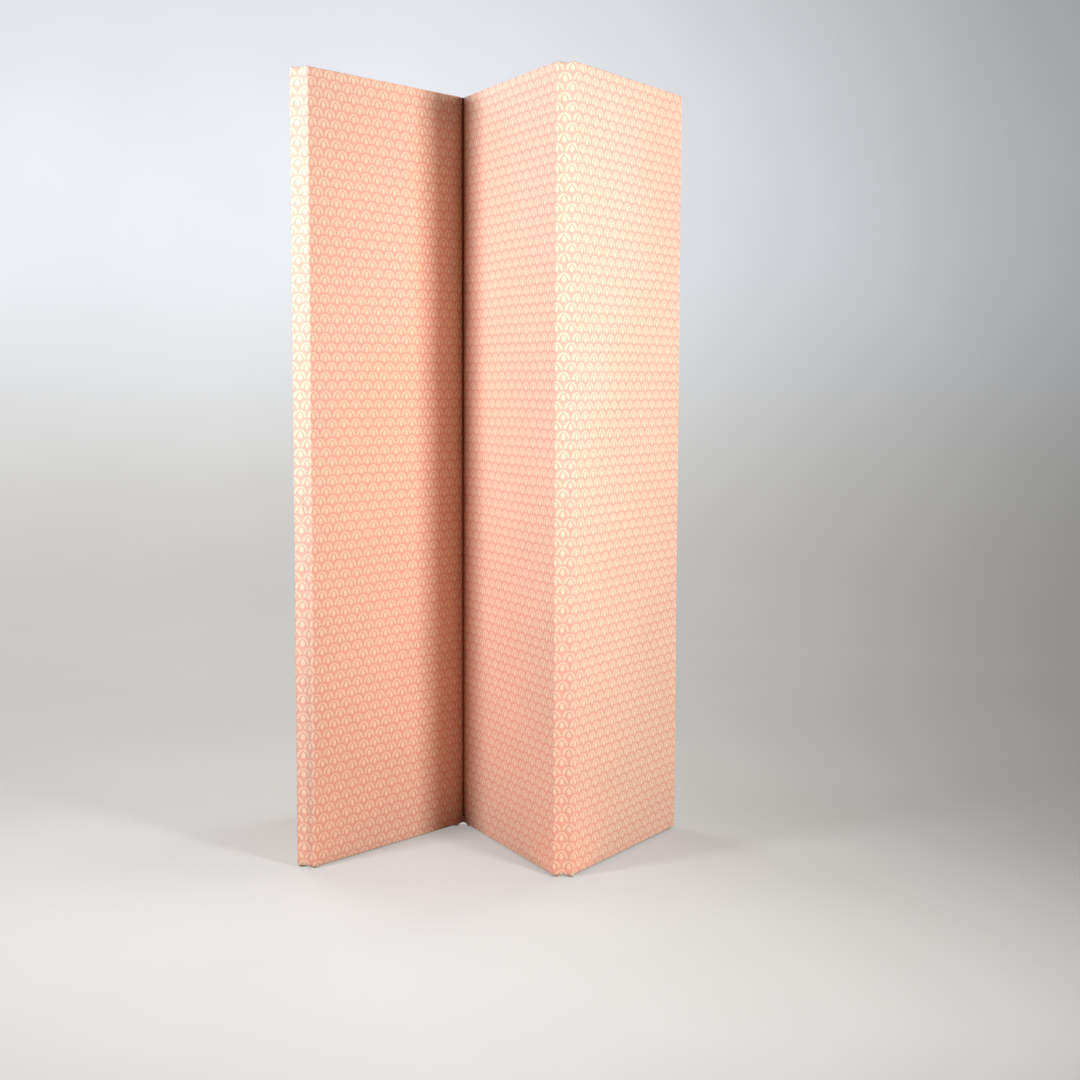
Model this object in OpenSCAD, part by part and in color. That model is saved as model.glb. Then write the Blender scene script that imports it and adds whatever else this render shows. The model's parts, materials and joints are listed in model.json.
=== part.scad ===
// Folding screen of four cloth-covered panels, joined edge to edge by cloth hinges that fold in
// alternate directions, so that it stands in a zigzag or closes like an accordion.
// X runs along the screen, Y away from the viewer and Z up. The origin is on the floor, under the
// middle of the box around the screen as it stands, in an even zigzag with the first panel going
// back from the left end of the second.
//
// A panel is modelled on its own axes: X from its left end to its right end, Y from its front face
// to its back face, and Z up from the floor.

/* [Panel] */
// Width of each panel over its cloth
panel_w = 460; // [300:5:700]
// Height of the screen from the floor to its top
screen_h = 1600; // [900:10:2200]
// Thickness of the timber frame inside a panel
frame_t = 12; // [10:1:30]
// Thickness of each facing board
board_t = 2.5; // [2:0.5:6]
// Thickness of the covering cloth
cloth_t = 1; // [0.6:0.1:2]
// Radius of a covered panel's rounded edges
edge_r = 4; // [3:0.5:6]

/* [Timber frame] */
// Width of the stiles
stile_w = 45; // [34:1:80]
// Width of the rails
rail_w = 45; // [34:1:80]
// Length of the stub tenons on the two middle rails
tenon_l = 15; // [8:1:25]
// Thickness of the stub tenons
tenon_t = 5; // [3:0.5:8]
// Shoulder above and below each stub tenon
tenon_shoulder = 5; // [2:1:10]
// Depth that the mortises go past the ends of the tenons
mortise_gap = 1; // [0.5:0.5:3]

/* [Hinge tapes] */
// Thickness of the hinge tape
tape_t = 0.6; // [0.4:0.1:1]
// Distance of each fold line from the faces and the edges that it joins
fold_gap = 0.8; // [0.8:0.1:2]
// Least gap between the two halves of a tape at the fold line
fold_play = 0.3; // [0.2:0.05:0.4]
// How far the flaps of a tape stop short of the ends of the panel
flap_inset = 16; // [8:1:60]
// Clearance on each side of a flap in the slit that it leaves the cloth by
slit_gap = 0.1; // [0.05:0.05:0.3]

/* [Lap screws] */
// Diameter of a screw's shank
screw_d = 3.5; // [3:0.5:5]
// Diameter of a screw's head
screw_head_d = 7; // [6:0.5:9]
// Timber left between a screw's point and the back board
screw_cover = 3; // [1:0.5:4]
// Width of the slot in a screw's head
slot_w = 1; // [0.6:0.1:1.4]
// Clearance round a screw, nail or staple in what it goes through
fastener_gap = 0.05; // [0.02:0.01:0.1]

/* [Glides] */
// Diameter of a glide
glide_d = 16; // [10:1:20]
// Height of a glide, from the floor to the cloth
glide_h = 3; // [2:0.5:8]
// Distance of a glide's centre from the end of its panel
glide_inset = 15; // [12:1:80]
// Diameter of a glide's nail
nail_d = 2; // [1.5:0.5:3]
// Length of a glide's nail above the glide
nail_l = 12; // [8:1:14]

/* [Staples] */
// Number of staples under each panel
staples = 5; // [2:1:9]
// Length of a staple's crown
crown_l = 10; // [6:1:14]
// Length of a staple's legs
leg_l = 8; // [6:1:12]
// Thickness of the staple wire
wire_t = 0.7; // [0.5:0.1:1]

/* [Pose] */
// Plan angle of the second panel from the length of the screen
second_heading = 51.5; // [0:0.5:90]
// Angle between the first panel and the second, behind them
fold_1_angle = 39; // [0:0.5:180]
// Angle between the second panel and the third, in front of them
fold_2_angle = 64; // [0:0.5:180]
// Angle between the third panel and the fourth, behind them
fold_3_angle = 56.5; // [0:0.5:180]

/* [Hidden] */
$fn = 64;
PANELS = [1, 2, 3, 4];
FOLDS = [1, 2, 3];
SIDES = ["left", "right"];
PIECES = ["left_stile", "right_stile", "top_rail", "upper_rail", "lower_rail", "bottom_rail",
    "front_board", "back_board", "front_cover", "back_cover", "lap_screws", "staples", "glides"];

// Overshoot of a cut past the solid that it cuts
past = 1;

// Thickness of a covered panel, and the levels of its parts above the floor
panel_t = frame_t + 2 * board_t + 2 * cloth_t;
panel_z = glide_h;
core_z = panel_z + cloth_t;
core_top = screen_h - cloth_t;
core_h = core_top - core_z;
bottom_rail_top = core_z + rail_w;
top_rail_z = core_top - rail_w;

// Front of the frame, the plane where the laps meet, and the back of the frame
frame_y = cloth_t + board_t;
lap_y = frame_y + frame_t / 2;
frame_back_y = frame_y + frame_t;

// The two middle rails share the height between the outer rails evenly
bay_h = (top_rail_z - bottom_rail_top - 2 * rail_w) / 3;
lower_rail_z = bottom_rail_top + bay_h;
upper_rail_z = lower_rail_z + rail_w + bay_h;

// A flap has a round tip this far from the fold line, which keeps fold_play between the two tips
// where they come closest, at right angles to each other
tip_r = tape_t / 2;
tip_reach = (fold_play + tape_t) / sqrt(2);
// From its strip on the stile, a flap turns towards the fold line this far from it on both axes
kink_inset = fold_gap + cloth_t + tip_r;

// Folds 1 and 3 lie behind the panels, and fold 2 in front of them
function behind(f) = f != 2;
// The fold at one end of a panel, or 0 at a free end of the screen
function fold_at(i, side) = side == "left" ? i - 1 : (i < len(PANELS) ? i : 0);
function joined(i, side) = fold_at(i, side) > 0;
// A free end is wrapped by the front cover, as the end at a fold behind the panel is
function back_wraps(i, side) = joined(i, side) && !behind(fold_at(i, side));

function panel_node(i, piece) = str("panel_", i, "_", piece);
function tape_node(f, side) = str("fold_", f, "_", side, "_tape");

// Ends of a panel's core of timber and boards, inside the cloth and the hinge tape
function core_left(i) = cloth_t + (joined(i, "left") ? tape_t : 0);
function core_right(i) = panel_w - cloth_t - (joined(i, "right") ? tape_t : 0);
function stile_x(i, side) = side == "left" ? core_left(i) : core_right(i) - stile_w;

// Place of each panel in plan: its heading, and the fold lines that it hangs on
second = second_heading;
third = second - (180 - fold_2_angle);
headings = [second - (180 - fold_1_angle), second, third, third + (180 - fold_3_angle)];
function turn(a, p) = [p.x * cos(a) - p.y * sin(a), p.x * sin(a) + p.y * cos(a)];
function fold_on_panel(f, side) =
    [side == "left" ? -fold_gap : panel_w + fold_gap, behind(f) ? panel_t + fold_gap : -fold_gap];
function corner_of(i) =
    i == 2 ? [0, 0]
    : i == 1 ? fold_line(1) - turn(headings[0], fold_on_panel(1, "right"))
    : fold_line(i - 1) - turn(headings[i - 1], fold_on_panel(i - 1, "left"));
function fold_line(f) =
    f == 1 ? turn(headings[1], fold_on_panel(1, "left"))
    : corner_of(f) + turn(headings[f - 1], fold_on_panel(f, "right"));

// Middle of the box around all the panels' rounded corners
rounding_centres = [for (i = PANELS, x = [edge_r, panel_w - edge_r], y = [edge_r, panel_t - edge_r])
    corner_of(i) + turn(headings[i - 1], [x, y])];
xs = [for (c = rounding_centres) c.x];
ys = [for (c = rounding_centres) c.y];
middle = [(min(xs) + max(xs)) / 2, (min(ys) + max(ys)) / 2];

// Glides stand under both ends of a panel, midway through its thickness
glide_places = [[glide_inset, panel_t / 2], [panel_w - glide_inset, panel_t / 2]];

// Where the fold lines are, and one of the glides that the screen stands on
for (f = FOLDS) echo(str("fold ", f, " line at "), fold_line(f) - middle);
echo("right glide of the second panel at ", corner_of(2) + turn(second, glide_places[1]) - middle);

module at_panel(i) {
    translate(concat(corner_of(i) - middle, 0)) rotate(headings[i - 1]) children();
}

// A box between two opposite corners
module block(low, high) {
    translate(low) cube(high - low);
}

// A rectangle with rounded corners, from the origin
module rounded_rect(w, h, r) {
    translate([r, 0]) square([w - 2 * r, h]);
    translate([0, r]) square([w, h - 2 * r]);
    for (x = [r, w - r], y = [r, h - r]) translate([x, y]) circle(r);
}

// A block rounded along all its edges, each pair of opposite sides being square to the others
module rounded_block(size, r) {
    intersection() {
        linear_extrude(size.z) rounded_rect(size.x, size.y, r);
        translate([0, size.y, 0]) rotate([90, 0, 0])
            linear_extrude(size.y) rounded_rect(size.x, size.z, r);
        rotate([90, 0, 90]) linear_extrude(size.x) rounded_rect(size.y, size.z, r);
    }
}

// The outside of a covered panel, and the outside of what the cloth covers
module panel_form() {
    translate([0, 0, panel_z]) rounded_block([panel_w, panel_t, screen_h - panel_z], edge_r);
}

module core_form() {
    translate([cloth_t, cloth_t, core_z])
        rounded_block([panel_w - 2 * cloth_t, panel_t - 2 * cloth_t, core_h], edge_r - cloth_t);
}

// The part of the panel that the back cover takes: the back, with its rounded edges, and the ends
// that it wraps
module back_cover_share(i) {
    block([-past, panel_t - edge_r, panel_z - past], [panel_w + past, panel_t + past, screen_h + past]);
    if (back_wraps(i, "left"))
        block([-past, -past, panel_z - past], [edge_r, panel_t + past, screen_h + past]);
    if (back_wraps(i, "right"))
        block([panel_w - edge_r, -past, panel_z - past], [panel_w + past, panel_t + past, screen_h + past]);
}

// Whatever is drawn for the right end of a panel with its fold behind, put at another folded end
module at_folded_end(i, side) {
    translate([panel_w / 2, panel_t / 2, 0])
        mirror([side == "left" ? 1 : 0, 0, 0])
            mirror([0, behind(fold_at(i, side)) ? 0 : 1, 0])
                translate([-panel_w / 2, -panel_t / 2, 0]) children();
}

// Section of a tape's flap: up along the end of the panel, then slanting out to the fold line
module flap_section(gap) {
    thickness = tape_t + 2 * gap;
    strip_y = panel_t - edge_r;
    kink = [panel_w, panel_t] + (fold_gap - kink_inset) * [1, 1];
    translate([kink.x - thickness / 2, strip_y]) square([thickness, kink.y - strip_y]);
    translate(kink) rotate(45) {
        circle(d = thickness);
        translate([0, -thickness / 2]) square([kink_inset * sqrt(2) - tip_reach, thickness]);
        translate([kink_inset * sqrt(2) - tip_reach, 0]) circle(d = thickness);
    }
}

module flap(gap) {
    inset = flap_inset - gap;
    translate([0, 0, panel_z + inset]) linear_extrude(screen_h - panel_z - 2 * inset) flap_section(gap);
}

module flap_slits(i) {
    for (side = SIDES) if (joined(i, side)) at_folded_end(i, side) flap(slit_gap);
}

// The strip of a tape that is glued to the stile, and the flap that leaves it for the fold line
module tape(i, side) {
    color([0.42, 0.26, 0.19]) at_folded_end(i, side) {
        intersection() {
            core_form();
            block([panel_w - cloth_t - tape_t, 0, panel_z], [panel_w, panel_t, screen_h]);
        }
        flap(0);
    }
}

// Stiles run the full height, and are halved at the front where the outer rails cross them
module stile(i, side) {
    x = stile_x(i, side);
    inner_x = side == "left" ? x + stile_w - tenon_l - mortise_gap : x - past;
    color("burlywood") difference() {
        intersection() {
            core_form();
            block([x, frame_y, core_z], [x + stile_w, frame_back_y, core_top]);
        }
        for (z = [core_z - past, top_rail_z])
            block([x - past, frame_y - past, z], [x + stile_w + past, lap_y, z + rail_w + past]);
        for (z = [lower_rail_z, upper_rail_z])
            block([inner_x, lap_y - tenon_t / 2, z + tenon_shoulder],
                [inner_x + tenon_l + mortise_gap + past, lap_y + tenon_t / 2, z + rail_w - tenon_shoulder]);
        screw_holes(i);
        nail_holes();
    }
}

// The outer rails run the full width, and are halved at the back where they cross the stiles
module outer_rail(i, z) {
    color("burlywood") difference() {
        intersection() {
            core_form();
            block([core_left(i), frame_y, z], [core_right(i), frame_back_y, z + rail_w]);
        }
        for (side = SIDES)
            block([stile_x(i, side) - (side == "left" ? past : 0), lap_y, z - past],
                [stile_x(i, side) + stile_w + (side == "left" ? 0 : past), frame_back_y + past, z + rail_w + past]);
        screw_holes(i);
        nail_holes();
        staple_holes();
    }
}

module middle_rail(i, z) {
    left = core_left(i) + stile_w;
    right = core_right(i) - stile_w;
    color("burlywood") union() {
        block([left, frame_y, z], [right, frame_back_y, z + rail_w]);
        block([left - tenon_l, lap_y - tenon_t / 2, z + tenon_shoulder],
            [right + tenon_l, lap_y + tenon_t / 2, z + rail_w - tenon_shoulder]);
    }
}

module board(i, y) {
    color("peru") intersection() {
        core_form();
        block([core_left(i), y, core_z], [core_right(i), y + board_t, core_top]);
    }
}

module front_cover(i) {
    color([0.86, 0.55, 0.44]) difference() {
        panel_form();
        core_form();
        back_cover_share(i);
        nail_holes();
        staple_holes();
    }
}

module back_cover(i) {
    color([0.84, 0.52, 0.42]) difference() {
        intersection() {
            panel_form();
            back_cover_share(i);
        }
        core_form();
        flap_slits(i);
    }
}

// A countersunk screw along +Y, with its head flush with the front of the frame
module screw(gap) {
    head_h = (screw_head_d - screw_d) / 2;
    rotate([-90, 0, 0]) {
        cylinder(h = head_h, d1 = screw_head_d + 2 * gap, d2 = screw_d + 2 * gap);
        cylinder(h = frame_t - screw_cover + gap, d = screw_d + 2 * gap);
    }
}

module at_screws(i) {
    for (side = SIDES, z = [core_z, top_rail_z])
        translate([stile_x(i, side) + stile_w / 2, frame_y, z + rail_w / 2]) children();
}

module screw_holes(i) {
    at_screws(i) screw(fastener_gap);
}

module lap_screws(i) {
    color("silver") at_screws(i) difference() {
        screw(0);
        block([-screw_head_d, -past, -slot_w / 2], [screw_head_d, slot_w, slot_w / 2]);
    }
}

// A nylon disc with a bevelled foot, on a nail
module glides() {
    bevel = glide_h / 3;
    color([0.82, 0.83, 0.82]) for (p = glide_places) translate(p) {
        cylinder(h = bevel, d1 = glide_d - 2 * bevel, d2 = glide_d);
        translate([0, 0, bevel]) cylinder(h = glide_h - bevel, d = glide_d);
        cylinder(h = glide_h + nail_l, d = nail_d);
    }
}

module nail_holes() {
    for (p = glide_places) translate(p)
        cylinder(h = glide_h + nail_l + fastener_gap, d = nail_d + 2 * fastener_gap);
}

// A staple driven up through the cloth, with its crown against it
module staple(gap) {
    crown = [crown_l / 2 + gap, wire_t / 2 + gap];
    block([-crown.x, -crown.y, panel_z - wire_t], [crown.x, crown.y, panel_z]);
    for (x = [-crown_l / 2, crown_l / 2 - wire_t])
        block([x - gap, -crown.y, panel_z - wire_t], [x + wire_t + gap, crown.y, panel_z + leg_l + gap]);
}

// Staples stand evenly between the glides, clear of the plane where the rail and the stiles lap
module at_staples() {
    pitch = (panel_w - 2 * glide_inset) / (staples + 1);
    for (k = [1:staples]) translate([glide_inset + k * pitch, frame_y + frame_t / 4, 0]) children();
}

module staple_holes() {
    at_staples() staple(fastener_gap);
}

module staple_row() {
    color("silver") at_staples() staple(0);
}

for (i = PANELS) {
    at_panel(i) stile(i, "left");
    at_panel(i) stile(i, "right");
    at_panel(i) outer_rail(i, top_rail_z);
    at_panel(i) middle_rail(i, upper_rail_z);
    at_panel(i) middle_rail(i, lower_rail_z);
    at_panel(i) outer_rail(i, core_z);
    at_panel(i) board(i, cloth_t);
    at_panel(i) board(i, frame_back_y);
    at_panel(i) front_cover(i);
    at_panel(i) back_cover(i);
    at_panel(i) lap_screws(i);
    at_panel(i) staple_row();
    at_panel(i) glides();
}
for (f = FOLDS) {
    at_panel(f) tape(f, "right");
    at_panel(f + 1) tape(f + 1, "left");
}
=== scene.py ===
"""A folding screen of four cloth-covered panels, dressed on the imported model.

Five stretched cloths cover the panels. Three of them run on over the edges of two panels, across
the fold between them, and bend there. Three tapes join the panels inside the folds. All sizes are
in metres. A panel's own plan axes are x from its left end to its right end, and y from its front
face to its back face.
"""
import json
import math

import bmesh
import bpy
import numpy as np
from mathutils import Matrix, Vector, noise


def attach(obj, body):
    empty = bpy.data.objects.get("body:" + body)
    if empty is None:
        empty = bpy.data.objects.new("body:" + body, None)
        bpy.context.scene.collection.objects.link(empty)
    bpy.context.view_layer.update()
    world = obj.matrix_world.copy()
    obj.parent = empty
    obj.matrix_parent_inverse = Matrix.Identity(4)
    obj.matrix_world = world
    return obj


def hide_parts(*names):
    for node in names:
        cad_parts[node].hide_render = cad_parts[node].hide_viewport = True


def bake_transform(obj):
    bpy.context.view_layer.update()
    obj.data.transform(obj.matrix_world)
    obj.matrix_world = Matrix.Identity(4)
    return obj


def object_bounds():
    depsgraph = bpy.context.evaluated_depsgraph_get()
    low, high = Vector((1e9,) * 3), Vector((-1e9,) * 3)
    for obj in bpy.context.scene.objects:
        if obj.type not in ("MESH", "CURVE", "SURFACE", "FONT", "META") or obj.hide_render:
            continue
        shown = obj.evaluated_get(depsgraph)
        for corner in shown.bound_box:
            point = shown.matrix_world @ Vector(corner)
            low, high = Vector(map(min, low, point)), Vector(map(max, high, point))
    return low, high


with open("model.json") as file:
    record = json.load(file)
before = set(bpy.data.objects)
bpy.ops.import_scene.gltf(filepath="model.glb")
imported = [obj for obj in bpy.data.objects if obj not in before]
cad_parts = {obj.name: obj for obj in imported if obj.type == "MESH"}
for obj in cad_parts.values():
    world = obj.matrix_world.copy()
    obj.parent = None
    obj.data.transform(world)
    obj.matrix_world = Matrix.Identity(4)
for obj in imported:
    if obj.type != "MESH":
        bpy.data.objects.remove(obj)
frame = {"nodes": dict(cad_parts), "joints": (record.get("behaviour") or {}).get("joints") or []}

cad_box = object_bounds()

MM = 0.001
PANEL_W = 460 * MM
PANEL_T = 19 * MM
GLIDE_H = 3 * MM
EDGE_R = 4 * MM
FOLD_GAP = 0.8 * MM
SCREEN_H = cad_box[1].z

# The cloth, whose outer surface at a fold lies CLOTH_BEND from the fold line
CLOTH_T = 0.7 * MM
CLOTH_BEND = 0.7 * MM
# Radius of its top and bottom edges at a fold, and how far they lie below and above the panels'.
# The columns next to a fold come near these, and their bottoms head for BRIDGE_RISE.
CREASE_R = EDGE_R * 0.2
CREASE_SINK = 2.6 * MM
CREASE_RISE = 2 * MM
BRIDGE_RISE = 1.95 * MM
# Columns of a cloth or a tape round a fold
CREASE_STEPS = 7
# Where a cloth ends at a seam, it ends this share of the way round the panel's edge
TUCK = 0.75
# How far it sinks into the seam at its free edges
SEAM_SINK = 0.45 * MM

# The hinge tapes, whose middle at a fold lies TAPE_BEND from the fold line
TAPE_T = 0.5 * MM
TAPE_BEND = 1.4 * MM
TAPE_EDGE_R = 0.2 * MM
# How deep a tape's glued flaps lie in a panel's end, and how far from the panel's far face they
# come out of it
TAPE_INSET = 1.3 * MM
TAPE_LEAVES = 0.6 * MM
# How far a tape stops short of the panels' bottom and top
FOOT_INSET = 16 * MM
HEAD_INSET = 2 * MM
# Length of the step along the line between two panels' middles that cross_fold works out and
# nothing uses
TURN_HALF = 0.8 * MM

# The cloth's woven pattern: rows of scales, each row moved on by half a scale. The tops of a row
# of whole scales lie PATTERN_RISE above the floor.
SCALE_W = 33.8 * MM
SCALE_REPEAT = 38.16 * MM
PATTERN_RISE = 15.5 * MM
# Length across the cloth at the creases of the left and of the other folded cloths, which sets
# where its columns of whole scales stand
LEFT_CREASE_U = 10 * SCALE_W + 5.5 * MM
RIGHT_CREASE_U = 10 * SCALE_W + 3.5 * MM


def add_object(name, data):
    """A new object in the scene that shows a mesh, a lamp or a camera."""
    made = bpy.data.objects.new(name, data)
    bpy.context.scene.collection.objects.link(made)
    return made


# ---------------------------------------------------------------- panels in plan

folds = {joint["name"]: joint for joint in frame["joints"]}
# Whether a fold line lies behind its panels or in front of them
BEHIND = {"fold_1": True, "fold_2": False, "fold_3": True}


def fold_at(name):
    """A fold line's place in plan."""
    return np.array(folds[name]["pos_m"][:2])


def fold_on_panel(name, end):
    """A fold line on the plan axes of a panel that it joins at its left or right end."""
    x = -FOLD_GAP if end == "left" else PANEL_W + FOLD_GAP
    y = PANEL_T + FOLD_GAP if BEHIND[name] else -FOLD_GAP
    return np.array([x, y])


def angle_of(v):
    """Heading of a plan vector."""
    return math.atan2(v[1], v[0])


class Panel:
    """A panel in plan, with the heading of its x axis. It is placed by the fold at one end."""
    def __init__(self, body, heading, fold, end):
        self.body = body
        self.heading = heading
        c, s = math.cos(heading), math.sin(heading)
        self.turn = np.array([[c, -s], [s, c]])
        self.corner = fold_at(fold) - self.turn @ fold_on_panel(fold, end)

    def place(self, x, y):
        return self.corner + self.turn @ np.array([x, y])

    def direction(self, x, y):
        return self.turn @ np.array([x, y])


def heading_between(first, second):
    """Heading of the panel that has these folds at its left and right ends."""
    on_panel = fold_on_panel(second, "right") - fold_on_panel(first, "left")
    return angle_of(fold_at(second) - fold_at(first)) - angle_of(on_panel)


second_heading = heading_between("fold_1", "fold_2")
third_heading = heading_between("fold_2", "fold_3")
# Fold 1 is shut at its lower limit, and fold 3 at its upper one
first_heading = second_heading - math.pi - math.radians(folds["fold_1"]["range_deg"][0])
fourth_heading = third_heading + math.pi - math.radians(folds["fold_3"]["range_deg"][1])
panel_1 = Panel("panel_1", first_heading, "fold_1", "right")
panel_2 = Panel("panel_2", second_heading, "fold_1", "left")
panel_3 = Panel("panel_3", third_heading, "fold_2", "left")
panel_4 = Panel("panel_4", fourth_heading, "fold_3", "left")
PANELS = [panel_1, panel_2, panel_3, panel_4]


# ---------------------------------------------------------------- columns of a cloth

class Column:
    """An upright line of a cloth: its place in plan, the way into the panel, and how its top and
    bottom are drawn."""
    def __init__(self, at, inward, radius=EDGE_R, top=SCREEN_H, bottom=GLIDE_H):
        self.at = np.asarray(at, float)
        self.inward = np.asarray(inward, float)
        self.radius, self.top, self.bottom = radius, top, bottom
        self.u = 0.0


def spaced(start, end, fine, step):
    """Places from start to end, at the fine distances near both and about step apart between."""
    length = end - start
    count = max(2, round((length - 2 * fine[-1]) / step) + 1)
    middle = np.linspace(fine[-1], length - fine[-1], count)
    low = np.array(fine[:-1])
    return start + np.concatenate([low, middle, length - low[::-1]])


# Places of the columns across a face and an end, and their turns round the edge between the two
FINE_X = [0, 1.2 * MM, 3 * MM, 6 * MM, 11 * MM, 18 * MM]
STEP_X = 11 * MM
FACE_X = spaced(EDGE_R, PANEL_W - EDGE_R, FINE_X, STEP_X)
END_Y = np.linspace(EDGE_R, PANEL_T - EDGE_R, 6)
ARC = [math.radians(a) for a in (18, 36, 54, 72, 90)]
# The last columns of an end before a fold: how far each lies from the panel's far face, and how
# much of the cloth's change from the panel to the fold it has made
BRIDGE = ((2.4 * MM, 0.3), (1.2 * MM, 0.55), (0, 0.8))


class Side:
    """The front or the back of a panel. Its columns are laid out as for the front of a panel
    seen from the front, from left to right, and the back is the mirror image of it."""
    def __init__(self, panel, back=False):
        self.panel, self.back = panel, back

    def column(self, x, y, nx, ny, **drawn):
        if self.back:
            y, ny = PANEL_T - y, -ny
        return Column(self.panel.place(x, y), self.panel.direction(nx, ny), **drawn)

    def face(self):
        return [self.column(x, 0, 0, 1) for x in FACE_X]

    def end_column(self, end, x_in, y, nx, ny, **drawn):
        """x_in is the distance in from the end, and nx points into the panel from it."""
        if end == "left":
            return self.column(x_in, y, nx, ny, **drawn)
        return self.column(PANEL_W - x_in, y, -nx, ny, **drawn)

    def corner(self, end, share=1.0):
        """The rounded edge between the face and an end, from the face."""
        columns = []
        for turn in ARC:
            nx, ny = math.sin(turn * share), math.cos(turn * share)
            columns.append(self.end_column(end, EDGE_R - EDGE_R * nx, EDGE_R - EDGE_R * ny, nx, ny))
        return columns

    def wrapped_end(self, end):
        """Round the edge and along the whole end, from the face."""
        return self.corner(end) + [self.end_column(end, 0, y, 1, 0) for y in END_Y[1:]]

    def bridge(self, end):
        """From the end's far side on towards the fold line, with the top sinking and the foot
        rising. The cloth is free of the panel here, so its edges are drawn in less."""
        columns = []
        for from_face, ease in BRIDGE:
            columns.append(self.end_column(
                end, -(FOLD_GAP - CLOTH_BEND) * ease, PANEL_T - from_face, 1, 0,
                radius=EDGE_R + (CREASE_R - EDGE_R) * ease,
                top=SCREEN_H - CREASE_SINK * ease, bottom=GLIDE_H + BRIDGE_RISE * ease))
        return columns


def bend(fold, first, second, reach, steps, **drawn):
    """Columns round a fold line, from the first panel's right end to the second one's left end."""
    a = first.direction(-1, 0)
    b = second.direction(1, 0)
    pivot = fold_at(fold)
    columns = []
    spread = math.acos(np.clip(np.dot(a, b), -1, 1))
    middle = (a + b) / np.linalg.norm(a + b)
    across = (b - a) / np.linalg.norm(b - a)
    for t in np.linspace(-0.5, 0.5, steps):
        way = middle * math.cos(spread * t) + across * math.sin(spread * t)
        columns.append(Column(pivot + way * reach, way, **drawn))
    return columns


def measure(columns, start_u):
    """Gives every column its place across the cloth, as a length along it."""
    columns[0].u = start_u
    for before, column in zip(columns, columns[1:]):
        column.u = before.u + float(np.linalg.norm(column.at - before.at))


def centre_u(columns, crease, at_u):
    """Measures the columns, and moves the cloth so that its crease lies at at_u."""
    measure(columns, 0.0)
    middle = (crease[0].u + crease[-1].u) / 2
    measure(columns, at_u - middle)


# ---------------------------------------------------------------- meshes

# Places of a column's points up its wall, as shares of it, and their turns over its edges
FINE_Z = [0, 6 * MM, 14 * MM, 26 * MM]
STEP_Z = 12 * MM
WALL_ROWS = spaced(0, 1, [z / SCREEN_H for z in FINE_Z], STEP_Z / SCREEN_H).tolist()
EDGE_ROWS = [math.radians(a) for a in (90, 67.5, 45, 22.5)]
# Patches are welded where their points lie this close, and edges shorter than a sliver go
WELD = 0.02 * MM
SLIVER = 0.01 * MM
# The slack's waves per metre along x, y and z, how far they stand out, and a shift that sets the
# small ones apart from the broad ones
BROAD_WAVES = (9, 9, 5)
BROAD_RISE = 0.22 * MM
SMALL_WAVES = (34, 34, 21)
SMALL_RISE = 0.10 * MM
SMALL_SHIFT = (7, 0, 0)


def column_rows(column):
    """Points up a column, each with its height along the cloth: in at the bottom edge, up the
    wall, and in again at the top edge."""
    r, low, high = column.radius, column.bottom, column.top
    points, heights = [], []
    for a in EDGE_ROWS:
        points.append((r * (1 - math.cos(a)), low + r - r * math.sin(a)))
        heights.append(low + r - r * a)
    for share in WALL_ROWS:
        z = low + r + (high - low - 2 * r) * share
        points.append((0, z))
        heights.append(z)
    for a in reversed(EDGE_ROWS):
        points.append((r * (1 - math.cos(a)), high - r + r * math.sin(a)))
        heights.append(high - r + r * a)
    grid = np.array([[*(column.at + column.inward * d), z] for d, z in points])
    return grid, np.array(heights)


def add_patch(bm, uv_layer, points, cloth, flip):
    """points is a grid of places and cloth a grid of (u, v), both with columns first."""
    verts = [[bm.verts.new(p) for p in line] for line in points]
    for i in range(len(points) - 1):
        for j in range(len(points[0]) - 1):
            corners = [(i, j), (i + 1, j), (i + 1, j + 1), (i, j + 1)]
            if flip:
                corners.reverse()
            face = bm.faces.new([verts[a][b] for a, b in corners])
            face.smooth = True
            for loop, (a, b) in zip(face.loops, corners):
                loop[uv_layer].uv = cloth[a][b]


def wall_patch(bm, uv_layer, columns, flip):
    """The cloth along the columns, with its top and bottom edges."""
    grids = [column_rows(column) for column in columns]
    points = [grid for grid, _ in grids]
    cloth = [[(column.u, v) for v in heights] for column, (_, heights) in zip(columns, grids)]
    add_patch(bm, uv_layer, points, cloth, flip)


def cap_patch(bm, uv_layer, panel, face_columns, top):
    """The cloth over the top of a panel, or under its bottom, from the front edge to the seam."""
    z = SCREEN_H if top else GLIDE_H
    quarter = EDGE_R * math.pi / 2
    points, cloth = [], []
    for x, column in zip(FACE_X, face_columns):
        points.append([[*panel.place(x, y), z] for y in END_Y])
        past_edge = [quarter - 2 * EDGE_R + y for y in END_Y]
        cloth.append([(column.u, z + past if top else z - past) for past in past_edge])
    add_patch(bm, uv_layer, points, cloth, flip=not top)


def ripple(p):
    """How far the cloth stands out at a place: slack over the boards, in broad shallow waves."""
    broad = noise.noise(Vector([x * n for x, n in zip(p, BROAD_WAVES)]))
    small = noise.noise(Vector([x * n + shift for x, n, shift in zip(p, SMALL_WAVES, SMALL_SHIFT)]))
    return BROAD_RISE * broad + SMALL_RISE * small


def finish_cloth(name, bm, thickness, material):
    """Welds the patches, sinks the free edges into their seams, and gives the cloth its waves and
    its thickness."""
    bmesh.ops.remove_doubles(bm, verts=bm.verts, dist=WELD)
    bmesh.ops.dissolve_degenerate(bm, edges=bm.edges, dist=SLIVER)
    bm.normal_update()
    free = {v for e in bm.edges if e.is_boundary for v in e.verts}
    for v in bm.verts:
        v.co += v.normal * (ripple(v.co) - (SEAM_SINK if v in free else 0))
    mesh = bpy.data.meshes.new(name)
    bm.to_mesh(mesh)
    bm.free()
    mesh.materials.append(material)
    piece = add_object(name, mesh)
    solid = piece.modifiers.new("thickness", "SOLIDIFY")
    solid.thickness = thickness
    solid.offset = -1
    solid.use_quality_normals = True
    return piece


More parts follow.
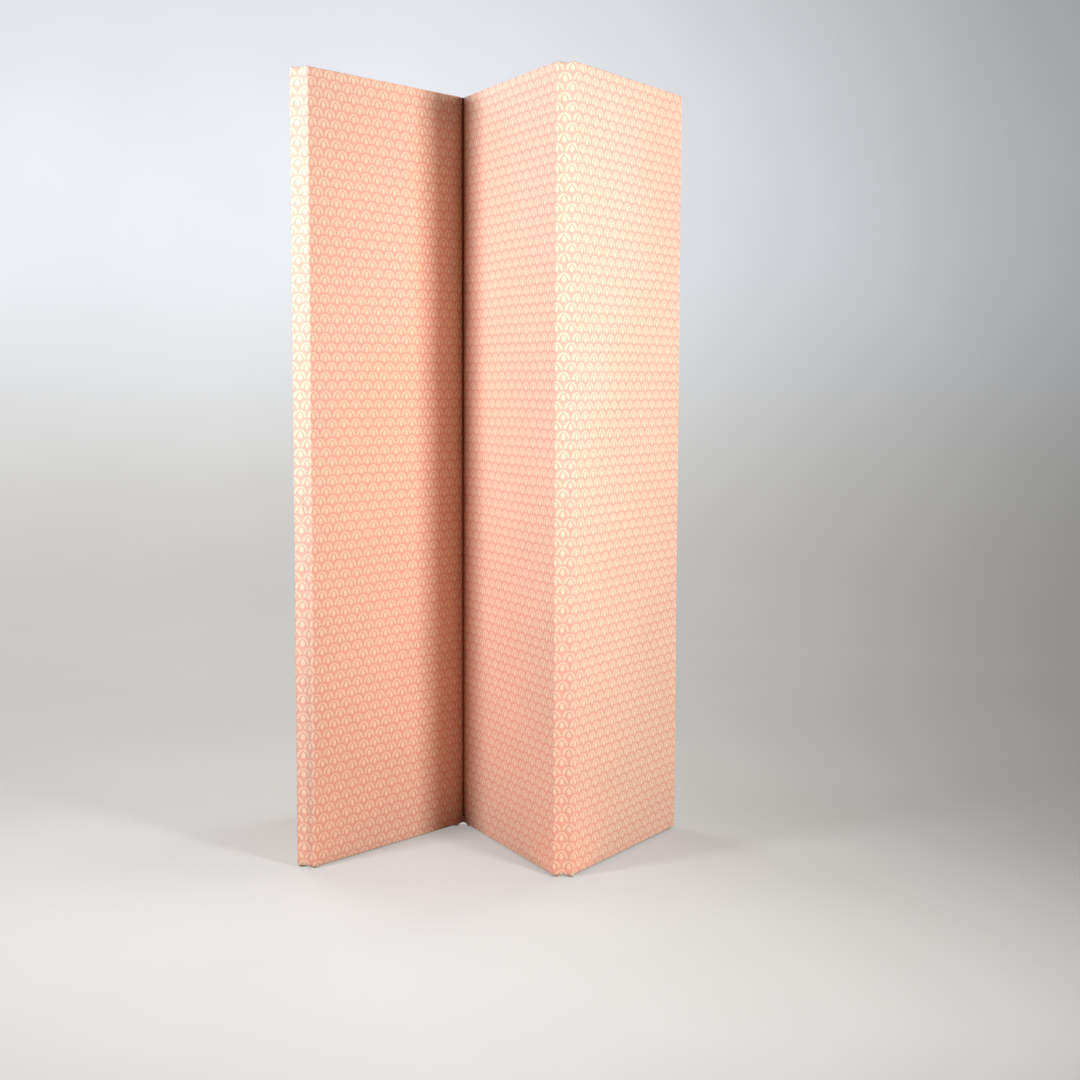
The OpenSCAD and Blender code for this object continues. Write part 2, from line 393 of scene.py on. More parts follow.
# ---------------------------------------------------------------- node helpers

# Sockets of a Mix node that mixes colours
MIX_FACTOR, MIX_A, MIX_B, MIX_RESULT = 0, 6, 7, 2


class Nodes:
    """A node tree, with short calls for the nodes that the patterns are made of."""
    def __init__(self, tree):
        self.tree = tree

    def node(self, kind, **settings):
        made = self.tree.nodes.new(kind)
        for key, value in settings.items():
            setattr(made, key, value)
        return made

    def feed(self, socket, value):
        if isinstance(value, bpy.types.NodeSocket):
            self.tree.links.new(value, socket)
        elif hasattr(value, "__len__") and len(value) == 3 and socket.type == "RGBA":
            socket.default_value = (*value, 1)
        else:
            socket.default_value = value

    def math(self, operation, *values):
        made = self.node("ShaderNodeMath", operation=operation)
        for socket, value in zip(made.inputs, values):
            self.feed(socket, value)
        return made.outputs[0]

    def step(self, value, low, high, out_low=0.0, out_high=1.0):
        """Goes smoothly from out_low to out_high as value goes from low to high."""
        made = self.node("ShaderNodeMapRange", interpolation_type="SMOOTHSTEP")
        for name, given in (("Value", value), ("From Min", low), ("From Max", high),
                            ("To Min", out_low), ("To Max", out_high)):
            self.feed(made.inputs[name], given)
        return made.outputs[0]

    def band(self, value, low, high, soft):
        """1 between low and high, and 0 outside them."""
        rise = self.step(value, low - soft, low + soft)
        fall = self.step(value, high - soft, high + soft, 1.0, 0.0)
        return self.math("MULTIPLY", rise, fall)

    def noise(self, vector, scale, detail=2.0, roughness=0.5, colour=False):
        made = self.node("ShaderNodeTexNoise")
        self.feed(made.inputs["Vector"], vector)
        made.inputs["Scale"].default_value = scale
        made.inputs["Detail"].default_value = detail
        made.inputs["Roughness"].default_value = roughness
        return made.outputs["Color" if colour else "Fac"]

    def mix(self, factor, a, b, blend="MIX"):
        made = self.node("ShaderNodeMix", data_type="RGBA", blend_type=blend)
        self.feed(made.inputs[MIX_FACTOR], factor)
        self.feed(made.inputs[MIX_A], a)
        self.feed(made.inputs[MIX_B], b)
        return made.outputs[MIX_RESULT]

    def scaled(self, colour, level):
        """A colour times a number."""
        return self.mix(1.0, colour, self.vector(level, level, level), blend="MULTIPLY")

    def vector(self, x, y, z=0.0):
        made = self.node("ShaderNodeCombineXYZ")
        for socket, value in zip(made.inputs, (x, y, z)):
            self.feed(socket, value)
        return made.outputs[0]

    def parts(self, vector):
        """The x, y and z of a vector."""
        made = self.node("ShaderNodeSeparateXYZ")
        self.feed(made.inputs[0], vector)
        return made.outputs

    def object_place(self):
        return self.node("ShaderNodeTexCoord").outputs["Object"]

    def seen(self):
        """1 for rays that show a surface to the eye, also in a reflection or through glass."""
        rays = self.node("ShaderNodeLightPath").outputs
        through = self.math("MAXIMUM", rays["Is Glossy Ray"], rays["Is Transmission Ray"])
        return self.math("MAXIMUM", rays["Is Camera Ray"], through)

    def turned(self, vector, angle):
        """A place turned about the upright axis."""
        made = self.node("ShaderNodeMapping")
        self.feed(made.inputs["Vector"], vector)
        made.inputs["Rotation"].default_value = (0, 0, angle)
        return made.outputs[0]


class Shader(Nodes):
    """A material with one Principled surface."""
    def __init__(self, name, roughness):
        self.material = bpy.data.materials.new(name)
        self.material.use_nodes = True
        super().__init__(self.material.node_tree)
        self.surface = self.tree.nodes["Principled BSDF"]
        self.surface.inputs["Roughness"].default_value = roughness

    def bump(self, height, distance, strength):
        made = self.node("ShaderNodeBump")
        made.inputs["Strength"].default_value = strength
        made.inputs["Distance"].default_value = distance
        self.feed(made.inputs["Height"], height)
        self.feed(self.surface.inputs["Normal"], made.outputs[0])

    def set(self, **inputs):
        """Sets sockets of the surface, whose names have _ here where they have a space."""
        for name, value in inputs.items():
            self.feed(self.surface.inputs[name.replace("_", " ")], value)


# ---------------------------------------------------------------- the woven cloth

GROUND = (0.780, 0.428, 0.326)
PINK = (0.830, 0.413, 0.318)
CREAM = (0.865, 0.612, 0.464)
DROP = (0.885, 0.648, 0.492)
OLIVE = (0.705, 0.410, 0.295)
TAN = (0.720, 0.440, 0.322)
# Painted shade, in patches along the crease of a fold
CREASE_SHADE = (0.46, 0.22, 0.14)

# Rounded outlines within a scale, in mm: how far its widest place lies below the scale's top, half
# its width there, how far it reaches up or down from there, and the power that rounds it, where 2
# gives an ellipse
ARCH_OUTSIDE = (14.4, 14.9, 14.1, 2.0)
ARCH_INSIDE = (16.0, 9.8, 13.5, 1.45)
DROP_TOP = (12.0, 4.9, 7.2, 1.3)
DROP_FOOT = (12.0, 4.9, 6.0, 2.0)
# Where things end, as a start and an end of their fading, in mm
ARCH_ENDS = (14.0, 16.4)
WITHIN_ENDS = (13.0, 16.5)
STEM_SIDES = (1.6, 3.6)
CREASE_SHADE_SIDES = (0.8, 2.2)
# The stem's top and bottom
STEM_BAND = (16.5, 21.5)
# The spot between two neighbours: its middle's depth, and half its width and height
SPOT_DOWN = 11.2
SPOT_HALF = (2.6, 4.6)
# Where an outline passes from its inside to its outside, which are below and above 1
ARCH_EDGE = (0.94, 1.06)
DROP_EDGE = (0.9, 1.1)
SPOT_EDGE = (0.6, 1.4)

# Distances between the ribs of the weave, up and across, in mm
WEFT_PITCH = 0.9
WARP_PITCH = 1.3
# How far the pattern wanders, slowly and from thread to thread, in mm
SLOW_WANDER = 5.0
QUICK_WANDER = 0.9
# How dark and how light threads and faded areas are
THREAD_TONES = (0.90, 1.08)
FADED_TONES = (0.975, 1.02)
# Depth of the relief, and how much of it the ribs, the arches and drops, the bands within the
# arches and the threads take
RELIEF = 0.35 * MM
RIB_RISE = 0.16
MOTIF_RISE = 0.55
WITHIN_RISE = -0.25
THREAD_RISE = 0.35


def outline(s, across, below, shape, downwards=False):
    """Below 1 inside a rounded outline, which reaches up or down from its widest place."""
    widest, half_width, reach, power = shape
    along = s.math("SUBTRACT", *((below, widest) if downwards else (widest, below)))
    wide = s.math("POWER", s.math("DIVIDE", across, half_width), power)
    high = s.math("POWER", s.math("DIVIDE", s.math("MAXIMUM", along, 0.0), reach), power)
    return s.math("ADD", wide, high)


def scale_masks(s, across, below):
    """Masks of one scale, from the distance across from its middle and below its top, in mm:
    its arch, the band within that, its drop, and the pink stem under the drop."""
    outer = outline(s, across, below, ARCH_OUTSIDE)
    inner = outline(s, across, below, ARCH_INSIDE)
    arch = s.math("MULTIPLY", s.step(outer, *ARCH_EDGE, 1.0, 0.0), s.step(inner, *ARCH_EDGE))
    arch = s.math("MULTIPLY", arch, s.step(below, *ARCH_ENDS, 1.0, 0.0))
    within = s.step(inner, *ARCH_EDGE, 1.0, 0.0)
    within = s.math("MULTIPLY", within, s.step(below, *WITHIN_ENDS, 1.0, 0.0))

    top = outline(s, across, below, DROP_TOP)
    foot = outline(s, across, below, DROP_FOOT, downwards=True)
    drop = s.step(s.math("MAXIMUM", top, foot), *DROP_EDGE, 1.0, 0.0)
    stem = s.math("MULTIPLY", s.band(below, *STEM_BAND, 1.0), s.step(across, *STEM_SIDES, 1.0, 0.0))
    return arch, within, drop, stem


def spot_mask(s, across, below):
    """The tan spot between two neighbours of a row, from the distance across from its middle."""
    wide = s.math("POWER", s.math("DIVIDE", across, SPOT_HALF[0]), 2.0)
    down = s.math("SUBTRACT", below, SPOT_DOWN)
    tall = s.math("POWER", s.math("DIVIDE", down, SPOT_HALF[1]), 2.0)
    return s.step(s.math("ADD", wide, tall), *SPOT_EDGE, 1.0, 0.0)


def pattern_masks(s, x, y):
    """Masks of the whole pattern, from a place across and up the cloth in mm: arches, the bands
    within them, drops, stems and spots."""
    half = SCALE_W / MM / 2
    repeat = SCALE_REPEAT / MM

    def rows_below(shift):
        down = s.math("SUBTRACT", shift, s.math("DIVIDE", y, repeat))
        return s.math("MULTIPLY", s.math("FRACT", down), repeat)

    across, below = s.math("PINGPONG", x, half), rows_below(0.0)
    across_half, below_half = s.math("SUBTRACT", half, across), rows_below(0.5)
    even = [*scale_masks(s, across, below), spot_mask(s, across_half, below)]
    odd = [*scale_masks(s, across_half, below_half), spot_mask(s, across, below_half)]
    return [s.math("MAXIMUM", a, b) for a, b in zip(even, odd)]


def cloth_place(s):
    """The place across and up a piece of cloth or tape, in mm."""
    u, v = s.parts(s.node("ShaderNodeUVMap", uv_map="cloth").outputs[0])[:2]
    return s.math("MULTIPLY", u, 1 / MM), s.math("MULTIPLY", v, 1 / MM)


def woven_cloth():
    """Upholstery cloth with a woven pattern of scales, a little faded, with painted shade in
    patches along its creases. The scales of its noises are per mm."""
    s = Shader("patterned_cloth", roughness=0.82)
    place, height = cloth_place(s)
    height = s.math("SUBTRACT", height, PATTERN_RISE / MM)
    in_mm = s.vector(place, height)

    # The pattern wanders a little, as cloth does when it is stretched over a frame, and its
    # outlines step from thread to thread
    drift = s.parts(s.noise(in_mm, 0.006, detail=1.0, colour=True))
    threads = s.parts(s.noise(in_mm, 0.9, detail=0.0, colour=True))

    def wander(value, axis):
        slow = s.math("MULTIPLY", s.math("SUBTRACT", drift[axis], 0.5), SLOW_WANDER)
        quick = s.math("MULTIPLY", s.math("SUBTRACT", threads[axis], 0.5), QUICK_WANDER)
        return s.math("ADD", value, s.math("ADD", slow, quick))

    x, y = wander(place, 0), wander(height, 1)
    arch, within, drop, stem, spot = pattern_masks(s, x, y)
    colour = s.mix(stem, GROUND, PINK)
    for mask, paint in ((spot, TAN), (within, OLIVE), (arch, CREAM), (drop, DROP)):
        colour = s.mix(mask, colour, paint)

    # Threads differ a little in tone, broad areas have faded unevenly
    fibre = s.noise(in_mm, 2.2, detail=3.0, roughness=0.65)
    tone = s.step(fibre, 0.25, 0.75, *THREAD_TONES)
    faded = s.step(s.noise(in_mm, 0.004, detail=3.0), 0.3, 0.7, *FADED_TONES)
    colour = s.scaled(colour, s.math("MULTIPLY", tone, faded))

    # Painted shade: the cloth is darkened here and there along the crease of a fold, where it
    # puckers
    crease = (LEFT_CREASE_U + RIGHT_CREASE_U) / 2 / MM
    near = s.step(s.math("ABSOLUTE", s.math("SUBTRACT", place, crease)), *CREASE_SHADE_SIDES, 1.0, 0.0)
    shade_patches = s.step(s.noise(s.vector(0.0, height), 0.013, detail=3.0), 0.56, 0.64, 0.0, 0.5)
    colour = s.mix(s.math("MULTIPLY", near, shade_patches), colour, CREASE_SHADE)

    # Ribs of the weave, and the pattern standing up from the ground
    weft = s.math("SINE", s.math("MULTIPLY", y, 2 * math.pi / WEFT_PITCH))
    warp = s.math("SINE", s.math("MULTIPLY", x, 2 * math.pi / WARP_PITCH))
    relief = s.math("MULTIPLY", s.math("MULTIPLY", weft, warp), RIB_RISE)
    motif = s.math("MAXIMUM", arch, drop)
    for mask, rise in ((motif, MOTIF_RISE), (within, WITHIN_RISE), (fibre, THREAD_RISE)):
        relief = s.math("MULTIPLY_ADD", mask, rise, relief)
    s.bump(relief, RELIEF, 0.6)
    s.set(Base_Color=colour, Sheen_Weight=0.12, Sheen_Roughness=0.45,
          Sheen_Tint=(1.0, 0.86, 0.76), Specular_IOR_Level=0.25)
    return s.material


# The tape's twill, in mm: half the width of its zigzag, and the distance between its ribs
ZIGZAG_HALF = 3.0
TWILL_PITCH = 0.8


def shaded_twill_tape():
    """Brown cotton tape with a herringbone twill. Its dark red-brown is partly painted shade for
    the deep line of the valley fold.
    """
    s = Shader("hinge_tape", roughness=0.88)
    place, height = cloth_place(s)
    zigzag = s.math("ADD", s.math("PINGPONG", place, ZIGZAG_HALF), height)
    ribs = s.step(s.math("SINE", s.math("MULTIPLY", zigzag, 2 * math.pi / TWILL_PITCH)), -0.7, 0.7)
    fibre = s.noise(s.vector(place, height), 1.6, detail=3.0)
    # Partly painted shade: these browns are darkened and reddened to stand for the shade deep in
    # the valley fold
    colour = s.mix(ribs, (0.30, 0.100, 0.060), (0.42, 0.150, 0.092))
    colour = s.mix(s.step(fibre, 0.4, 0.7), colour, (0.50, 0.20, 0.13))
    s.set(Base_Color=colour, Specular_IOR_Level=0.2)
    s.bump(s.math("ADD", ribs, fibre), 0.15 * MM, 0.8)
    return s.material


# ---------------------------------------------------------------- materials of the frame

# How finely the grain changes across the timber and along it, and how close its rings lie
GRAIN_ACROSS = 14.0
GRAIN_ALONG = 0.9
RINGS = 70.0
# How high the floor's grime comes up a glide
GRIME_H = 1.6 * MM


def pine(name, heading=None):
    """Planed softwood. The grain runs up a stile, or along a rail with the given heading."""
    s = Shader(name, roughness=0.55)
    if heading is None:
        side, through, along = s.parts(s.object_place())[:3]
    else:
        along, through, side = s.parts(s.turned(s.object_place(), -heading))[:3]
    grain = s.vector(s.math("MULTIPLY", side, GRAIN_ACROSS),
                     s.math("MULTIPLY", through, GRAIN_ACROSS),
                     s.math("MULTIPLY", along, GRAIN_ALONG))
    swirl = s.noise(grain, 1.4, detail=2.0)
    rings = s.math("SINE", s.math("MULTIPLY", swirl, RINGS))
    late = s.step(rings, 0.1, 0.95)
    pores = s.noise(grain, 26.0, detail=4.0, roughness=0.7)
    colour = s.mix(late, (0.72, 0.50, 0.29), (0.52, 0.29, 0.13))
    colour = s.mix(s.step(pores, 0.52, 0.75, 0.0, 0.5), colour, (0.40, 0.22, 0.10))
    s.set(Base_Color=colour, Roughness=s.step(late, 0.0, 1.0, 0.6, 0.45))
    s.bump(s.math("ADD", late, pores), 0.12 * MM, 0.5)
    return s.material


def hardboard():
    """Brown pressed board, mottled with chips."""
    s = Shader("hardboard", roughness=0.5)
    place = s.object_place()
    chips = s.noise(place, 420.0, detail=4.0, roughness=0.7)
    clouds = s.noise(place, 14.0, detail=3.0)
    colour = s.mix(s.step(chips, 0.35, 0.7), (0.20, 0.105, 0.05), (0.33, 0.19, 0.10))
    colour = s.mix(s.step(clouds, 0.35, 0.7, 0.0, 0.4), colour, (0.16, 0.08, 0.04))
    s.set(Base_Color=colour, Roughness=s.step(chips, 0.3, 0.7, 0.42, 0.62))
    s.bump(chips, 0.1 * MM, 0.4)
    return s.material


def zinc_steel():
    """Zinc-plated steel, a little stained."""
    s = Shader("zinc_steel", roughness=0.35)
    place = s.object_place()
    flakes = s.noise(place, 900.0, detail=3.0, roughness=0.6)
    stains = s.noise(place, 160.0, detail=2.0)
    colour = s.mix(flakes, (0.56, 0.57, 0.58), (0.72, 0.72, 0.70))
    colour = s.mix(s.step(stains, 0.6, 0.8, 0.0, 0.5), colour, (0.42, 0.36, 0.28))
    s.set(Base_Color=colour, Roughness=s.step(flakes, 0.3, 0.7, 0.28, 0.5), Metallic=1.0)
    s.bump(flakes, 0.05 * MM, 0.4)
    return s.material


def nylon():
    """Pale moulded nylon, scuffed, and grimy near the floor."""
    s = Shader("nylon", roughness=0.42)
    place = s.object_place()
    scuffs = s.noise(place, 700.0, detail=4.0, roughness=0.65)
    grime = s.noise(place, 120.0, detail=3.0)
    low = s.step(s.parts(place)[2], 0.0, GRIME_H, 1.0, 0.0)
    dirt = s.math("MULTIPLY", low, s.step(grime, 0.3, 0.7, 0.2, 0.8))
    colour = s.mix(scuffs, (0.70, 0.71, 0.68), (0.80, 0.81, 0.79))
    colour = s.mix(dirt, colour, (0.36, 0.33, 0.29))
    s.set(Base_Color=colour, Roughness=s.step(scuffs, 0.3, 0.7, 0.35, 0.6),
          Subsurface_Weight=0.15, Subsurface_Scale=1.5 * MM)
    s.bump(scuffs, 0.05 * MM, 0.5)
    return s.material


def dress_frame():
    """Gives every CAD node that still shows its material."""
    upright, board, steel, glide = pine("pine_upright"), hardboard(), zinc_steel(), nylon()
    for panel in PANELS:
        rail = pine(f"pine_rail_{panel.body}", panel.heading)
        endings = {"stile": upright, "rail": rail, "board": board, "lap_screws": steel,
                   "staples": steel, "glides": glide}
        for name, node in frame["nodes"].items():
            for ending, material in endings.items():
                if name.startswith(panel.body) and name.endswith(ending):
                    node.data.materials.clear()
                    node.data.materials.append(material)


# ---------------------------------------------------------------- the cloths

cloth_material = woven_cloth()


def cloth_over(name, columns, back, nodes, face_runs=()):
    """A cloth along the columns, which stands for the nodes. face_runs gives, for each panel that
    it also covers above and below, the panel and the columns of its face."""
    bm = bmesh.new()
    uv_layer = bm.loops.layers.uv.new("cloth")
    wall_patch(bm, uv_layer, columns, flip=back)
    for panel, face_columns in face_runs:
        for top in (True, False):
            cap_patch(bm, uv_layer, panel, face_columns, top)
    piece = finish_cloth(name, bm, CLOTH_T, cloth_material)

    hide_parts(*nodes)
    return piece


def cross_fold(piece, first, second):
    """Bakes the piece's place into its mesh. It works out a short step along the line from one
    panel's middle to the other's, which nothing uses."""
    way = second.place(PANEL_W / 2, PANEL_T / 2) - first.place(PANEL_W / 2, PANEL_T / 2)
    way = way / np.linalg.norm(way) * TURN_HALF
    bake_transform(piece)


def outer_end(side, end, free):
    """From the face round its edge: the whole end where it is the screen's own, and otherwise as
    far as the seam."""
    return side.wrapped_end(end) if end == free else side.corner(end, TUCK)


def folded_cloth(name, fold, first, second, crease_u, back=False, free=None):
    """Over the fronts or the backs of two panels, and round their ends at the fold between them.
    free is the end, left or right, where it reaches the screen's own end."""
    one, two = Side(first, back), Side(second, back)
    face_one, face_two = one.face(), two.face()
    crease = bend(fold, first, second, CLOTH_BEND, CREASE_STEPS, radius=CREASE_R,
                  top=SCREEN_H - CREASE_SINK, bottom=GLIDE_H + CREASE_RISE)[1:-1]
    columns = (outer_end(one, "left", free)[::-1] + face_one + one.wrapped_end("right")
               + one.bridge("right") + crease + two.bridge("left")[::-1]
               + two.wrapped_end("left")[::-1] + face_two + outer_end(two, "right", free))
    centre_u(columns, crease, crease_u)
    nodes = [f"{panel.body}_{'back' if back else 'front'}_cover" for panel in (first, second)]
    face_runs = () if back else ((first, face_one), (second, face_two))
    piece = cloth_over(name, columns, back, nodes, face_runs)
    cross_fold(piece, first, second)


def end_cloth(name, panel, free):
    """Over the back of a panel at an end of the screen, from the seam at its free end."""
    side = Side(panel, back=True)
    left = side.corner("left", 1.0 if free == "left" else TUCK)
    right = side.corner("right", 1.0 if free == "right" else TUCK)
    columns = left[::-1] + side.face() + right
    measure(columns, LEFT_CREASE_U)
    piece = cloth_over(name, columns, True, [f"{panel.body}_back_cover"])
    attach(piece, panel.body)


folded_cloth("left_cloth", "fold_1", panel_1, panel_2, LEFT_CREASE_U, free="left")
folded_cloth("right_cloth", "fold_3", panel_3, panel_4, RIGHT_CREASE_U, free="right")
folded_cloth("middle_cloth", "fold_2", panel_2, panel_3, RIGHT_CREASE_U, back=True)
end_cloth("panel_1_back_cloth", panel_1, "left")
end_cloth("panel_4_back_cloth", panel_4, "right")


# ---------------------------------------------------------------- hinge tapes

shaded_tape_material = shaded_twill_tape()


def hinge_tape(fold, first, second):
    """One strip, glued down the ends of two panels and bent round the fold line between them."""
    back = not BEHIND[fold]
    drawn = dict(radius=TAPE_EDGE_R, top=SCREEN_H - HEAD_INSET, bottom=GLIDE_H + FOOT_INSET)

    def strip(panel, end):
        side = Side(panel, back=back)
        places = [(TAPE_INSET, y) for y in np.linspace(EDGE_R, PANEL_T - EDGE_R, 4)]
        places.append((TAPE_BEND - FOLD_GAP, PANEL_T - TAPE_LEAVES))
        return [side.end_column(end, x, y, 1, 0, **drawn) for x, y in places]

    round_fold = bend(fold, first, second, TAPE_BEND, CREASE_STEPS, **drawn)
    columns = strip(first, "right") + round_fold + strip(second, "left")[::-1]
    measure(columns, 0.0)
    bm = bmesh.new()
    uv_layer = bm.loops.layers.uv.new("cloth")
    wall_patch(bm, uv_layer, columns, flip=back)
    piece = finish_cloth(f"{fold}_tape", bm, TAPE_T, shaded_tape_material)
    piece.modifiers["thickness"].offset = 0
    nodes = [f"{fold}_left_tape", f"{fold}_right_tape"]
    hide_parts(*nodes)
    cross_fold(piece, first, second)


for fold, first, second in zip(("fold_1", "fold_2", "fold_3"), PANELS, PANELS[1:]):
    hinge_tape(fold, first, second)

dress_frame()


# ---------------------------------------------------------------- camera, floor and light

# The camera was placed by fitting the panels' edges in the photograph. Its place is given from
# the foot of the second fold, and its focal length in pixels of the square frame. The sensor's
# width is in mm.
CAMERA_FROM_FOLD = Vector((0.1694, -3.740, 0.981))
CAMERA_DOWN = math.radians(5.20)
CAMERA_ROLL = math.radians(0.19)
FOCAL_PX = 1700
FRAME_PX = 1080
SENSOR_W = 36


def place_camera():
    """The camera, at the photograph's place and angle."""
    data = bpy.data.cameras.new("camera")
    data.sensor_width = SENSOR_W
    data.lens = SENSOR_W * FOCAL_PX / FRAME_PX
    camera = add_object("camera", data)
    camera.matrix_world = (Matrix.Translation(Vector((*fold_at("fold_2"), 0)) + CAMERA_FROM_FOLD)
                           @ Matrix.Rotation(math.pi / 2 - CAMERA_DOWN, 4, "X")
                           @ Matrix.Rotation(CAMERA_ROLL, 4, "Z"))
    bpy.context.scene.camera = camera


# The floor runs from FRONT_Y back to a wall at WALL_Y, with a cove of radius COVE_R between them
FRONT_Y = -9.0
WALL_Y = 4.6
WALL_H = 7.0
COVE_R = 1.6
STAGE_HALF = 9.0
# Painted shade: the floor is darker about the object's foot, the wall darker high over the object,
# and both darker towards the right
# Grey levels of the floor in front of the object, of the floor about its foot, and of the wall,
# how much the wall darkens over the object, and the share of the floor's tone far to the right
FLOOR_TONE = 0.715
FOOT_SHADE_TONE = 0.585
WALL_TONE = 0.87
HIGH_SHADE_FALL = 0.14
RIGHT_SHADE_SHARE = 0.40
# The floor is a little warmer and the wall a little cooler than grey
FLOOR_TINT = (1.02, 1.0, 0.965)
WALL_TINT = (0.975, 1.0, 1.045)
# The share of the floor's tone that the lamps bring out near the object
LIT_SHARE = 0.5
# Where these change, as a start and an end in metres, on the axis that each name ends in
FOOT_Y = (-0.6, 0.4)
WALL_Z = (0.0, 1.7)
HIGH_Z = (1.9, 3.4)
TINT_Z = (0.1, 1.6)
UNLIT_Y = (0.4, 2.2)
# The darkening to the right below is painted shade.
# It darkens to the right, over NEAR_SHADE_X where FAR_Y starts and over FAR_SHADE_X where it ends.
# In front of the object that stretch reaches FRONT_EXTRA further right.
FAR_Y = (-1.0, WALL_Y)
NEAR_SHADE_X = (-0.3, 1.6)
FAR_SHADE_X = (-0.5, 3.4)
FRONT_EASE_Y = (-1.2, 0.0)
FRONT_EXTRA = 0.5
# Past these the floor has the backdrop's tone: to the sides, by SPREAD wider for each metre
# further back, and in front
SIDE_X = (1.3, 2.2)
SPREAD = 0.32
AHEAD_Y = (-3.0, -1.6)
# What the floor throws back on the object, what stands past its edges, and the light from there
FLOOR_BOUNCE = (0.42, 0.29, 0.20)
BACKDROP = (0.62, 0.63, 0.65)
AIR_TINT = (1.0, 0.93, 0.87)
AIR = 0.02


def shaded_floor_level(s, x, y, z):
    """The grey level of the floor and the wall, which changes along each of the three axes. Its
    darker floor about the object's foot, darker wall high up and darkening to the right are painted
    shade.
    """
    # Painted shade about the object's foot and high on the wall
    level = s.step(y, *FOOT_Y, FLOOR_TONE, FOOT_SHADE_TONE)
    level = s.math("ADD", level, s.step(z, *WALL_Z, 0.0, WALL_TONE - FOOT_SHADE_TONE))
    level = s.math("SUBTRACT", level, s.step(z, *HIGH_Z, 0.0, HIGH_SHADE_FALL))

    # Painted shade towards the right
    far = s.step(y, *FAR_Y)
    start, end = (s.math("MULTIPLY_ADD", far, at_wall - beside, beside)
                  for beside, at_wall in zip(NEAR_SHADE_X, FAR_SHADE_X))
    end = s.math("ADD", end, s.step(y, *FRONT_EASE_Y, FRONT_EXTRA, 0.0))
    level = s.math("MULTIPLY", level, s.step(x, start, end, 1.0, RIGHT_SHADE_SHARE))
    blotches = s.step(s.noise(s.object_place(), 1.2, detail=3.0), 0.3, 0.7, 0.985, 1.015)
    return s.math("MULTIPLY", level, blotches)


def studio_paint():
    """The floor and backdrop: pale, warm and in half its own light near the object, and cooler and
    all in its own light further back. It throws little light back. Far to the front and to the
    sides it has the tone of the air past its edges."""
    s = Shader("studio_paint", roughness=0.9)
    x, y, z = s.parts(s.object_place())[:3]
    tint = s.mix(s.step(z, *TINT_Z), FLOOR_TINT, WALL_TINT)
    sideways = s.math("MULTIPLY_ADD", y, -SPREAD, s.math("ABSOLUTE", x))
    aside = s.math("MAXIMUM", s.step(sideways, *SIDE_X), s.step(y, *AHEAD_Y, 1.0, 0.0))
    tone = s.mix(aside, s.scaled(tint, shaded_floor_level(s, x, y, z)), BACKDROP)

    lit = s.math("MULTIPLY", s.step(y, *UNLIT_Y, LIT_SHARE, 0.0), s.math("SUBTRACT", 1.0, aside))
    seen = s.seen()
    s.set(Base_Color=s.mix(seen, FLOOR_BOUNCE, s.mix(lit, (0, 0, 0), tone)), Emission_Color=tone,
          Emission_Strength=s.math("MULTIPLY", seen, s.math("SUBTRACT", 1.0, lit)),
          Specular_IOR_Level=0.0)
    return s.material


def cyclorama():
    """A floor that curves up into a wall, so far back that a camera behind the screen fits in
    front of it."""
    profile = [(FRONT_Y, 0.0)]
    for a in np.linspace(0, math.pi / 2, 13):
        profile.append((WALL_Y - COVE_R + COVE_R * math.sin(a), COVE_R - COVE_R * math.cos(a)))
    profile.append((WALL_Y, WALL_H))
    verts = [(x, y, z) for y, z in profile for x in (-STAGE_HALF, STAGE_HALF)]
    faces = [(2 * k, 2 * k + 1, 2 * k + 3, 2 * k + 2) for k in range(len(profile) - 1)]
    mesh = bpy.data.meshes.new("studio_floor")
    mesh.from_pydata(verts, [], faces)
    for polygon in mesh.polygons:
        polygon.use_smooth = True
    mesh.materials.append(studio_paint())
    add_object("studio_floor", mesh)


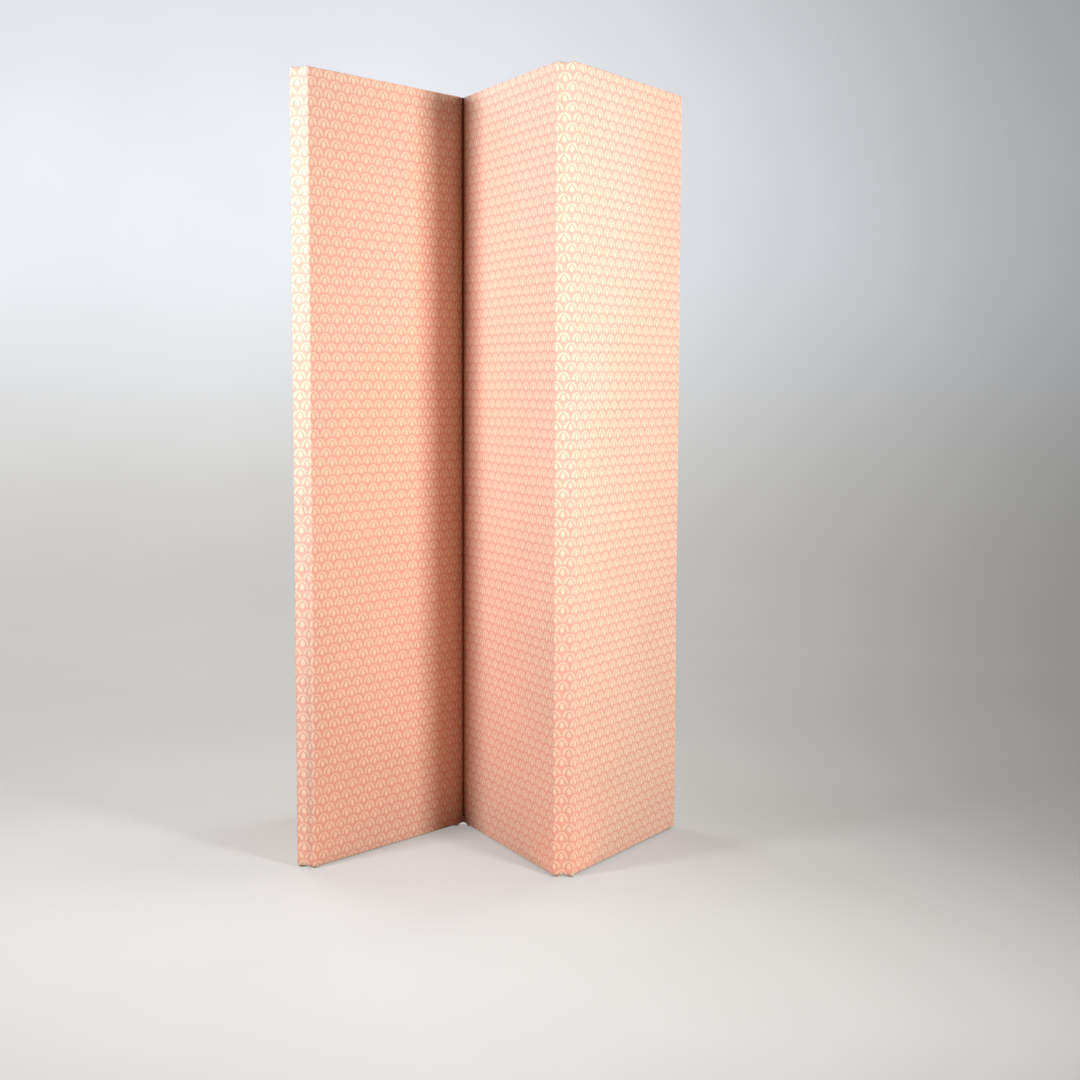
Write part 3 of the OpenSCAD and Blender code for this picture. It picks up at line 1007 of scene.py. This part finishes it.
def softbox(name, azimuth, height, distance, size, watts, colour=(1, 1, 1), aim=(0, 0, 0.85)):
    """An area light that faces aim. Azimuth 0 is along +X and -90 along -Y."""
    data = bpy.data.lights.new(name, "AREA")
    data.shape = "RECTANGLE"
    data.size, data.size_y = size
    data.energy = watts
    data.color = colour
    light = add_object(name, data)
    a = math.radians(azimuth)
    light.location = Vector((distance * math.cos(a), distance * math.sin(a), height))
    light.rotation_euler = (Vector(aim) - light.location).to_track_quat("-Z", "Y").to_euler()
    light.visible_camera = False


def studio_air():
    """A little light from all round, which shows as a pale backdrop past the floor's end."""
    world = bpy.data.worlds.new("studio_air")
    bpy.context.scene.world = world
    world.use_nodes = True
    nodes = Nodes(world.node_tree)
    air = world.node_tree.nodes["Background"]
    air.inputs["Color"].default_value = (*AIR_TINT, 1)
    air.inputs["Strength"].default_value = AIR
    backdrop = nodes.node("ShaderNodeBackground")
    backdrop.inputs["Color"].default_value = (*BACKDROP, 1)
    shown = nodes.node("ShaderNodeMixShader")
    for socket, value in zip(shown.inputs, (nodes.seen(), air.outputs[0], backdrop.outputs[0])):
        nodes.feed(socket, value)
    nodes.feed(world.node_tree.nodes["World Output"].inputs[0], shown.outputs[0])


def light_studio():
    """Soft lamps all round, of which two small ones in front throw the shade in the folds."""
    studio_air()
    softbox("left_softbox", azimuth=-139.5, height=1.47, distance=1.9, size=(0.36, 0.60), watts=41,
            colour=(0.96, 1.0, 1.08), aim=(0, 0, 1.47))
    softbox("right_softbox", azimuth=-52, height=1.29, distance=1.9, size=(0.30, 0.95), watts=38,
            aim=(0, 0, 1.29))
    softbox("side_softbox", azimuth=12, height=1.1, distance=3.0, size=(1.5, 1.5), watts=22)
    softbox("top_softbox", azimuth=90, height=3.2, distance=0.4, size=(0.8, 0.8), watts=13,
            aim=(0, 0.4, 0))
    for name, azimuth in (("back_left_softbox", 130), ("back_right_softbox", 50)):
        softbox(name, azimuth, height=2.2, distance=2.6, size=(1.2, 1.2), watts=46)
    # A little warm light that comes up from the floor on the feet of the panels
    softbox("floor_bounce", azimuth=-90, height=0.01, distance=0.65, size=(0.9, 0.9), watts=0.9,
            colour=(1.0, 0.30, 0.15), aim=(0, -0.65, 1))
    bpy.context.scene.view_settings.view_transform = "Standard"


place_camera()
cyclorama()
light_studio()
